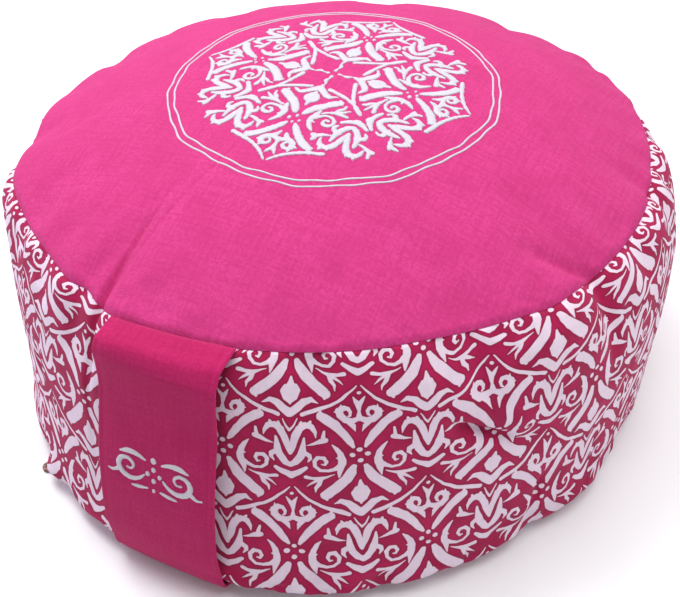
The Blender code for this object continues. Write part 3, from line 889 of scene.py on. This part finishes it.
embroidered = []
for turn in np.radians([-90, 0, 90, 180]):
    out = np.array([np.cos(turn), np.sin(turn)])
    left = np.array([-out[1], out[0]])
    for stroke in motif_strokes():
        x, y, half = np.array(stroke, float).T
        place = out * (MOTIF_OUT + y * MOTIF_HEIGHT)[:, None] + left * (x * MOTIF_WIDTH)[:, None]
        embroidered.append(np.column_stack([place, half * THREAD_SPREAD + THREAD_HALF]))
thread, tree, shader = new_material(
    "embroidery thread", Roughness=0.42, Specular_IOR_Level=0.5, Sheen_Weight=0.2,
)
stitch = add(tree, "UVMap", uv_map="stitch").outputs[0]
parts = add(tree, "SeparateXYZ", stitch).outputs
slant = math(tree, "MULTIPLY_ADD", parts[1], 0.18, parts[0])
strand = math(tree, "ABSOLUTE", math(tree, "SINE", math(tree, "MULTIPLY", slant, np.pi / STRAND)))
streak = noise(tree, vector_math(tree, "MULTIPLY", stitch, (1900, 160, 0)), 1, 2)[0]
streaks = ramp(tree, streak, 0.3, 0.7, 0.9, 1.0)
# Painted shade in the grooves between strands, times the thread's own uneven streaks.
shade = math(tree, "MULTIPLY", ramp(tree, strand, 0.0, 0.6, 0.78, 1.0), streaks)
colour = mix_colour(tree, 1.0, THREAD_WHITE, shade, "MULTIPLY")
wire(tree, shader, Base_Color=colour, Normal=raised(tree, strand, 0.00012))
rings = satin_ribbons(
    "embroidered_rings", [wandering_ring(RING_RADII[0], 0.3), wandering_ring(RING_RADII[1], 2.0)],
    crown_surface, 0.0004, ragged=0.00006,
)
motifs = satin_ribbons("embroidered_motifs", embroidered, crown_surface, 0.0006, ragged=0.00026)
for piece in (rings, motifs):
    piece.data.materials.append(thread)
    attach(piece, "root")

# ------------------------------
# The base panel. One flat disc of the same plain cotton as the top, with a rounded turned edge.
BASE_COLUMNS = 200
BASE_EDGE = BASE_CLOTH / 2  # its rounded edge's radius
base_azimuth = np.radians(np.linspace(-90, 270, BASE_COLUMNS + 1)[:-1])
edge_turn = np.radians(np.linspace(80, -80, 7))
inside = np.linspace(0.1, 0.98, 8) * BASE_RADIUS
base_radii = np.concatenate([
    inside, BASE_RADIUS - BASE_EDGE + BASE_EDGE * np.cos(edge_turn), inside[::-1]
])
base_heights = np.concatenate([
    np.full(8, BASE_CLOTH), BASE_EDGE + BASE_EDGE * np.sin(edge_turn), np.zeros(8)
])
base_grid = round_points(base_azimuth, base_radii[:, None], base_heights[:, None])
ids, upper_ring, lower_ring = tube_ids(len(base_grid), BASE_COLUMNS)
base = make_piece(
    "base_cotton_panel", base_grid, ids.tolist() + [upper_ring.tolist(), lower_ring[::-1].tolist()]
)
base.data.materials.append(panel_cotton)
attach(base, "root")
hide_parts("base_panel")

# ------------------------------
# The carry strap. A tube of plain cotton pressed flat and topstitched along both edges, sewn
# into both seams; it stands off the band where a hand goes in. A small scroll ornament in white
# satin stitch lies half way up it.
STRAP_WIDTH = 0.062
STRAP_THICKNESS = 0.0020
STRAP_FLATNESS = 0.5
STRAP_END_CLEARANCE = 0.0009
STRAP_FLOOR_CLEARANCE = 0.0001
STRAP_BAND_CLEARANCE = 0.0016
STRAP_ROUTE = (  # height and radius of its mid-line
    (0.0048, 0.1893), (0.01, 0.194), (0.02, 0.1966), (0.031, 0.1976), (0.0425, 0.197),
    (0.055, 0.1953), (0.068, 0.193), (0.08, 0.1904), (0.091, 0.1873), (0.1, 0.1848),
    (0.111, 0.1828), (0.122, 0.1814), (0.13, 0.1797), (0.135, 0.1768),
)
STRAP_ROWS, STRAP_HALF_COLUMNS = 170, 36
EDGE_ROUND = 0.0010
TOPSTITCH_IN = 0.0027
STITCH_LENGTH, STITCH_GAP, STITCH_HALF_WIDTH = 0.0024, 0.0006, 0.00020
STITCH_CLEAR_OF_END = 0.004
# The strap's two pinks are the top's cotton made darker and deeper: painted shade for its upright faces,
# which get less light than the top.
SHADED_STRAP_PINK = (0.54, 0.019, 0.138, 1)
SHADED_STRAP_PINK_DEEP = (0.42, 0.010, 0.090, 1)
# The soft bend below its head: how far it stands out, its place below the head, how much it
# leans across the strap, the rounding of its ridge and its reach.
STRAP_BEND, BEND_BELOW_HEAD, BEND_LEAN, BEND_ROUND, BEND_REACH = 0.0016, 0.0198, 0.06, 0.0016, 0.007
# How far below its head the strap starts to follow the seam, loses the bend, nears the band and
# is pressed thin.
SEAM_FADE, BEND_FADE, BAND_FADE, PRESS_FADE = 0.03, 0.012, 0.006, 0.005
# Each soft place of the strap: across, along, half width, half length, height of the swelling.
STRAP_SWELLINGS = (
    (-0.01, 0.128, 0.007, 0.016, 0.0005), (0.016, 0.112, 0.012, 0.009, 0.001),
    (-0.02, 0.12, 0.006, 0.014, 0.0005), (0.006, 0.06, 0.02, 0.008, -0.0006),
    (0, 0.092, 0.026, 0.016, -0.0005), (0.034, 0.138, 0.026, 0.016, 0.0018),
    (-0.034, 0.138, 0.026, 0.016, -0.0016),
)
FRONT = np.radians(-90)
STRAP_STEP = 0.0006


def strap_mid_line():
    """The strap's mid-line at the front as radius and height, with its length so far: a curve
    through its ends at the seams and the stations between."""
    foot = STRAP_FLOOR_CLEARANCE + STRAP_THICKNESS / 2
    head_radius = seam_radius(FRONT) + 0.0002
    head_height = rim_height(FRONT) + 0.0005
    under_edge = BASE_RADIUS + STRAP_END_CLEARANCE
    at = np.array([
        (under_edge, foot), (under_edge + 0.008, foot),
        *((radius, height) for height, radius in STRAP_ROUTE),
        (head_radius + 0.0062, head_height - 0.0012), (head_radius, head_height),
    ])
    at = np.concatenate([[2 * at[0] - at[1]], at, [2 * at[-1] - at[-2]]])
    t = np.linspace(0, 1, 24, endpoint=False)[None, :, None]
    curve = catmull_rom(*(at[k : len(at) - 3 + k][:, None] for k in range(4)), t)
    curve = np.concatenate([curve.reshape(-1, 2), at[-2:-1]])
    curve[:, 1] = np.maximum(curve[:, 1], foot)
    return curve, np.concatenate([[0], np.cumsum(np.linalg.norm(np.diff(curve, axis=0), axis=1))])


strap_line, strap_length = strap_mid_line()
strap_stations = np.linspace(0, 1, len(strap_line))


def strap_middle(across, along):
    """Points of the strap's mid-plane, across from its middle and along from its foot. Between
    its ends it is flatter across than the band behind it."""
    radius = np.interp(along, strap_length, strap_line[:, 0])
    height = np.interp(along, strap_length, strap_line[:, 1])
    progress = np.interp(along, strap_length, strap_stations)
    azimuth = FRONT + np.arcsin(across / radius)
    level = np.maximum(height, FLAT_FOOT)
    round_radius = radius + side_radius(azimuth, level) - side_radius(FRONT, level)
    round_y = -np.sqrt(round_radius**2 - across**2)
    roundness = 1 - STRAP_FLATNESS * np.sin(np.pi * progress) ** 2
    flat_y = -radius + roundness * (round_y + radius)
    below_head = strap_length[-1] - along
    short = side_radius(azimuth, level) + STRAP_BAND_CLEARANCE - np.hypot(across, flat_y)
    short = np.maximum(short, 0) * np.clip(below_head / BAND_FADE, 0, 1)
    flat_y = flat_y - np.where(level > FLAT_FOOT + 0.004, short, 0)
    from_bend = along - (strap_length[-1] - BEND_BELOW_HEAD - BEND_LEAN * across)
    from_bend = np.sqrt(from_bend**2 + BEND_ROUND**2) - BEND_ROUND
    out = STRAP_BEND * np.exp(-from_bend / BEND_REACH) * np.clip(below_head / BEND_FADE, 0, 1)
    for middle, place, wide, long, rise in STRAP_SWELLINGS:
        out = out + rise * bump(across - middle, wide) * bump(along - place, long)
    into_seam = np.clip(1 - below_head / SEAM_FADE, 0, 1) ** 2
    height = height + into_seam * (rim_height(azimuth) - rim_height(FRONT))
    return np.stack([across + 0 * radius, flat_y - 0.85 * out, height + 0.5 * out], -1)


def strap_normal(across, along):
    step = STRAP_STEP
    inside = np.clip(along, step, strap_length[-1] - step)
    up = strap_middle(across, inside + step) - strap_middle(across, inside - step)
    over = strap_middle(across + step, inside) - strap_middle(across - step, inside)
    normals = np.cross(over, up)
    return normals / np.linalg.norm(normals, axis=-1, keepdims=True)


def strap_half_thickness(across, along):
    """Half the strap's thickness: full between the topstitching, pinched along it, rounded off
    to its folded edges, and pressed thin where its head goes into the seam."""
    inward = np.maximum(STRAP_WIDTH / 2 - np.abs(across), 0)
    round_edge = np.sqrt(np.clip(1 - (1 - np.clip(inward / EDGE_ROUND, 0, 1)) ** 2, 0, 1))
    pressed = 1 - 0.6 * np.clip(1 - (strap_length[-1] - along) / PRESS_FADE, 0, 1) ** 2
    stitched = 1 - 0.38 * bump(inward - TOPSTITCH_IN, 0.0007)
    return STRAP_THICKNESS / 2 * stitched * (0.12 + 0.88 * round_edge) * pressed


def strap_outside(across, along):
    normals = strap_normal(across, along)
    return strap_middle(across, along) + normals * strap_half_thickness(across, along)[..., None], normals


lean = np.sin(np.linspace(-np.pi / 2, np.pi / 2, STRAP_HALF_COLUMNS))
across = STRAP_WIDTH / 2 * np.concatenate([lean, lean[-2:0:-1]])
outer = np.repeat([1, -1], [STRAP_HALF_COLUMNS, STRAP_HALF_COLUMNS - 2])
along = np.linspace(0, strap_length[-1], STRAP_ROWS)
across_grid, along_grid = np.broadcast_arrays(across, along[:, None])
strap_out = (outer * strap_half_thickness(across_grid, along_grid))[..., None]
strap_grid = strap_middle(across_grid, along_grid) + strap_normal(across_grid, along_grid) * strap_out
ids, foot_ring, head_ring = tube_ids(STRAP_ROWS, len(across))
ids, foot_ring = ids[:, ::-1], foot_ring[::-1]
strap_place = np.stack([across_grid, along_grid], -1).reshape(-1, 2)
strap = make_piece(
    "strap_cotton_tube", strap_grid, ids.tolist() + [foot_ring.tolist(), head_ring.tolist()],
    {"cloth": strap_place[np.concatenate([ids.ravel(), foot_ring, head_ring])]},
)


def by_strap(tree):
    return add(tree, "UVMap", uv_map="cloth").outputs[0]


# Plain cotton in the strap's pinks, which carry painted shade.
strap_cotton = plain_cotton("strap cotton", SHADED_STRAP_PINK, SHADED_STRAP_PINK_DEEP, by_strap, 0.08)
strap.data.materials.append(strap_cotton)
starts = np.arange(
    STITCH_CLEAR_OF_END, strap_length[-1] - STITCH_CLEAR_OF_END, STITCH_LENGTH + STITCH_GAP
)
stitches = [
    [(line, at, STITCH_HALF_WIDTH), (line, at + STITCH_LENGTH, STITCH_HALF_WIDTH)]
    for line in (TOPSTITCH_IN - STRAP_WIDTH / 2, STRAP_WIDTH / 2 - TOPSTITCH_IN) for at in starts
]
topstitching = satin_ribbons("strap_topstitching", stitches, strap_outside, 0.00022, step=0.0012)
topstitching.data.materials.append(strap_cotton)
# The strap's ornament, its right half: a scroll, a leaning bar and part of a cross of dots, as
# places in millimetres from its middle with half thicknesses.
SCROLL_AT = 0.093
SCROLL_STROKES = (
    ((5, -1.5, 0.5), (8, -4.5, 1), (12.5, -6.2, 1.4), (17.2, -4.6, 1.6), (19.2, -0.4, 1.5),
     (17.4, 3.6, 1.3), (13.6, 4.6, 1), (10.9, 2.2, 0.8), (12, -0.6, 0.7), (14.4, -0.6, 0.6)),
    ((19, -3.4, 1.3), (22.4, -5.6, 0.8), (25, -5.4, 0.4)),
    ((4.5, 7.2, 0.6), (8.5, 8.6, 1.2), (13.5, 8.8, 1.5), (18, 7.4, 0.5)),
    ((0, 3.2, 1.2),), ((3.2, 0, 1.2),), ((0, -3.2, 1.2),), ((0, 8.2, 1.5),), ((0, -9, 0.9),),
    ((3.6, -8.6, 0.5), (7.5, -9.4, 1), (12, -10, 0.5)),
)
ornament_strokes = []
for stroke, mirror in product(SCROLL_STROKES, (1, -1)):
    x, y, half = np.array(stroke, float).T / 1000
    ornament_strokes.append(np.column_stack([mirror * x, SCROLL_AT + y, half]))
strap_scroll = satin_ribbons(
    "strap_scroll_ornament", ornament_strokes, strap_outside, 0.0006, ragged=0.0001
)
strap_scroll.data.materials.append(thread)
for piece, finish in (
    (strap, "strap_cotton"), (topstitching, "strap_cotton"), (strap_scroll, "white_thread"),
):
    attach(piece, "root")
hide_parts("carry_strap")

# ------------------------------
# The zip's pull. A small cast tab with an eye, plated and then darkened, rubbed bright along its
# edges and on its face; it lies under the band's turned edge, left of the strap.
PULL_DARK = (0.050, 0.017, 0.017, 1)
PULL_RUBBED = (0.24, 0.13, 0.12, 1)
pull_metal, tree, shader = new_material("antique pull metal", Metallic=0.8)
pitted = noise(tree, by_place(tree), 900, 4, "3D")[0]
edges = add(tree, "NewGeometry").outputs["Pointiness"]
rubbed = math(tree, "MULTIPLY", ramp(tree, edges, 0.51, 0.60), ramp(tree, pitted, 0.35, 0.6))
wire(
    tree, shader, Base_Color=mix_colour(tree, rubbed, PULL_DARK, PULL_RUBBED),
    Roughness=ramp(tree, pitted, 0.3, 0.7, 0.38, 0.6), Normal=raised(tree, pitted, 0.00006, 0.6),
)
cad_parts["zip_pull"].data.materials.clear()
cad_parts["zip_pull"].data.materials.append(pull_metal)

# ------------------------------
# The plain pale floor, the soft studio light and the camera.
bpy.ops.mesh.primitive_plane_add(size=8)
floor = bpy.context.object
floor.name = "studio_floor"
floor.data.materials.append(
    new_material("floor paint", Base_Color=(0.9, 0.9, 0.9, 1), Roughness=0.9)[0]
)

world = bpy.data.worlds.new("studio")
bpy.context.scene.world = world
world.use_nodes = True
wire(world.node_tree, world.node_tree.nodes["Background"], Color=(0.93, 0.95, 1, 1), Strength=0.42)

LIT_POINT = np.array([0, 0, 0.08])
for name, place, size, power, colour in (
    ("key softbox", (-0.70, 0.20, 1.55), 0.9, 19.5, (1, 1, 1)),
    ("overhead softbox", (0.35, 0.15, 1.7), 1.5, 21, (1, 1, 1)),
    ("left softbox", (-1.7, -0.1, 0.8), 1.1, 11, (0.80, 0.72, 1)),
    ("right softbox", (1.7, 0.5, 0.8), 1.1, 5, (1, 1, 1)),
):
    light = bpy.data.lights.new(name, "AREA")
    light.shape, light.size, light.energy, light.color = "DISK", size, power, colour
    lamp = bpy.data.objects.new(name, light)
    bpy.context.collection.objects.link(lamp)
    lamp.location = place
    back = np.array(place) - LIT_POINT
    tilt, turn = np.arccos(back[2] / np.linalg.norm(back)), np.arctan2(back[1], back[0]) + np.pi / 2
    lamp.rotation_euler = (tilt, 0, turn)

# The camera was fitted to the photo: pixels for its focal length and for the lens's axis.
PICTURE_WIDTH, PICTURE_HEIGHT, FOCAL_LENGTH = 680, 597, 1100
AXIS_ACROSS, AXIS_DOWN = 339.12, 241.26
CAMERA_DISTANCE = 0.6346
CAMERA_AZIMUTH, CAMERA_ELEVATION, CAMERA_ROLL = np.radians([27, 38.61, 1.85])
TARGET = np.array([0, 0, 0.0693])
level = np.array([np.cos(CAMERA_AZIMUTH), np.sin(CAMERA_AZIMUTH), 0])
outwards = np.array([np.sin(CAMERA_AZIMUTH), -np.cos(CAMERA_AZIMUTH), 0])
backward = outwards * np.cos(CAMERA_ELEVATION) + [0, 0, np.sin(CAMERA_ELEVATION)]
upright = np.cross(backward, level)
right = np.cos(CAMERA_ROLL) * level - np.sin(CAMERA_ROLL) * upright
above = np.sin(CAMERA_ROLL) * level + np.cos(CAMERA_ROLL) * upright
lens = bpy.data.cameras.new("camera")
lens.sensor_width = 36
lens.lens = lens.sensor_width * FOCAL_LENGTH / PICTURE_WIDTH
lens.shift_x = (PICTURE_WIDTH / 2 - AXIS_ACROSS) / PICTURE_WIDTH
lens.shift_y = (AXIS_DOWN - PICTURE_HEIGHT / 2) / PICTURE_WIDTH
camera = bpy.data.objects.new("camera", lens)
bpy.context.collection.objects.link(camera)
pose = np.eye(4)
pose[:3] = np.column_stack([right, above, backward, TARGET + CAMERA_DISTANCE * backward])
camera.matrix_world = Matrix(pose.tolist())
bpy.context.scene.camera = camera
bpy.context.scene.view_settings.view_transform = "Standard"
